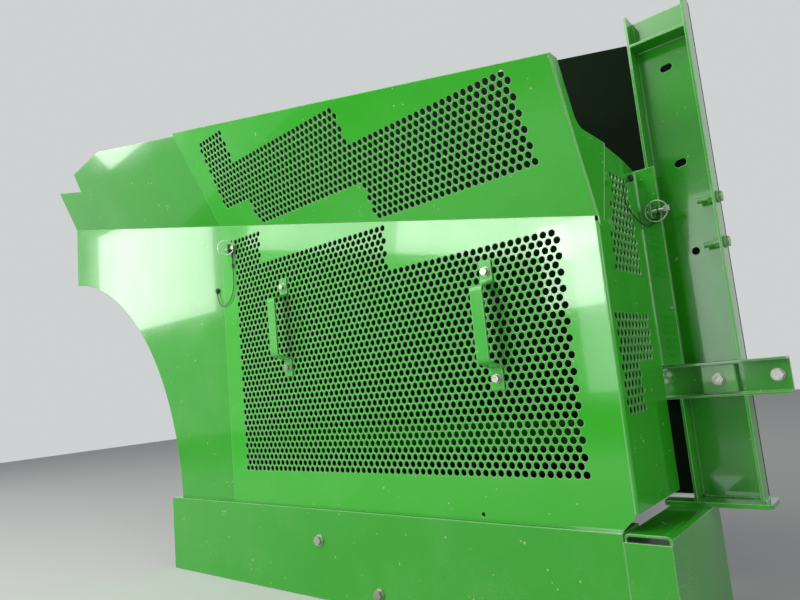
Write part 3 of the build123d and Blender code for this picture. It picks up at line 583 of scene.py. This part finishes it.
def make_floor():
    bpy.ops.object.select_all(action="DESELECT")
    bpy.ops.mesh.primitive_plane_add(size=FLOOR_SIZE, location=(0, 0, FLOOR_Z))
    floor = bpy.context.object
    floor.name = "studio_floor"
    material = bpy.data.materials.new("studio_floor")
    material.use_nodes = True
    shader = material.node_tree.nodes["Principled BSDF"]
    shader.inputs["Base Color"].default_value = FLOOR_GREY
    shader.inputs["Roughness"].default_value = FLOOR_ROUGHNESS
    floor.data.materials.append(material)


def make_world():
    """Soft light on the object, and a plain backdrop where the surroundings are seen or mirrored."""
    world = bpy.data.worlds.new("studio_world")
    scene.world = world
    world.use_nodes = True
    tree = world.node_tree
    tree.nodes.clear()
    rays = tree.nodes.new("ShaderNodeLightPath")
    seen = math_node(tree, "MAXIMUM", rays.outputs["Is Camera Ray"], rays.outputs["Is Transmission Ray"])
    seen = math_node(tree, "MAXIMUM", seen, rays.outputs["Is Glossy Ray"])
    soft = tree.nodes.new("ShaderNodeBackground")
    soft.inputs["Color"].default_value = SOFT_LIGHT
    soft.inputs["Strength"].default_value = SOFT_STRENGTH
    plain = tree.nodes.new("ShaderNodeBackground")
    plain.inputs["Color"].default_value = BACKDROP_GREY
    plain.inputs["Strength"].default_value = 1.0
    blend = tree.nodes.new("ShaderNodeMixShader")
    out = tree.nodes.new("ShaderNodeOutputWorld")
    link(tree, seen, blend.inputs[0])
    link(tree, soft.outputs[0], blend.inputs[1])
    link(tree, plain.outputs[0], blend.inputs[2])
    link(tree, blend.outputs[0], out.inputs[0])


def add_softbox(name, place, target, size, power, colour, slant):
    data = bpy.data.lights.new(name, "AREA")
    data.shape = "RECTANGLE"
    data.size, data.size_y = size
    data.energy = power
    data.color = colour
    lamp = bpy.data.objects.new(name, data)
    lamp.location = place
    turn = (Vector(target) - Vector(place)).to_track_quat("-Z", "Y")
    lamp.rotation_euler = (turn @ Quaternion((0, 0, 1), math.radians(slant))).to_euler()
    scene.collection.objects.link(lamp)


# lamps: name, place, what it faces, width and height, watts, colour and slant in degrees. The two bands
# mirror in the front's top band and slant with its fold. The corner box mirrors in the front's upper right
# corner, the tall one in its right border and the post's web, the left one in the fixed panel and the side
# one in the side wall. The wide and the top one give plain light from above.
FOLD_SLANT = -12.9
WHITE, WARM, COOL = (1, 1, 1), (1.0, 0.98, 0.94), (0.88, 1.0, 0.93)
SOFTBOXES = (
    ("band_right", (-1.10, -2.5, 1.36), (-1.10, 0.0, 1.36), (1.6, 0.36), 16.0, WHITE, FOLD_SLANT),
    ("band_left", (-2.75, -2.5, 1.74), (-2.75, 0.0, 1.74), (1.8, 0.36), 8.0, WHITE, FOLD_SLANT),
    ("wide_box", (-1.8, -2.6, 2.9), (-1.0, 0.0, 0.7), (3.0, 0.8), 24.0, WHITE, 0.0),
    ("tall_box", (-0.25, -2.5, 0.83), (-0.25, 0.0, 0.83), (0.7, 1.1), 9.0, COOL, 0.0),
    ("left_box", (-4.1, -1.8, 1.6), (-4.1, 0.0, 1.6), (1.9, 1.0), 29.0, WHITE, 0.0),
    ("corner_box", (-0.56, -2.45, 1.02), (-0.56, 0.0, 1.02), (0.42, 0.5), 6.0, WHITE, 0.0),
    ("side_box", (2.8, -0.6, 1.2), (0.5, 0.1, 0.6), (1.2, 1.2), 15.0, WHITE, 0.0),
    ("top_box", (-0.6, -1.6, 3.0), (0.0, 0.0, 0.5), (2.0, 2.0), 42.0, WARM, 0.0),
)

make_floor()
make_world()
for softbox in SOFTBOXES:
    add_softbox(*softbox)
scene.view_settings.view_transform = "Standard"
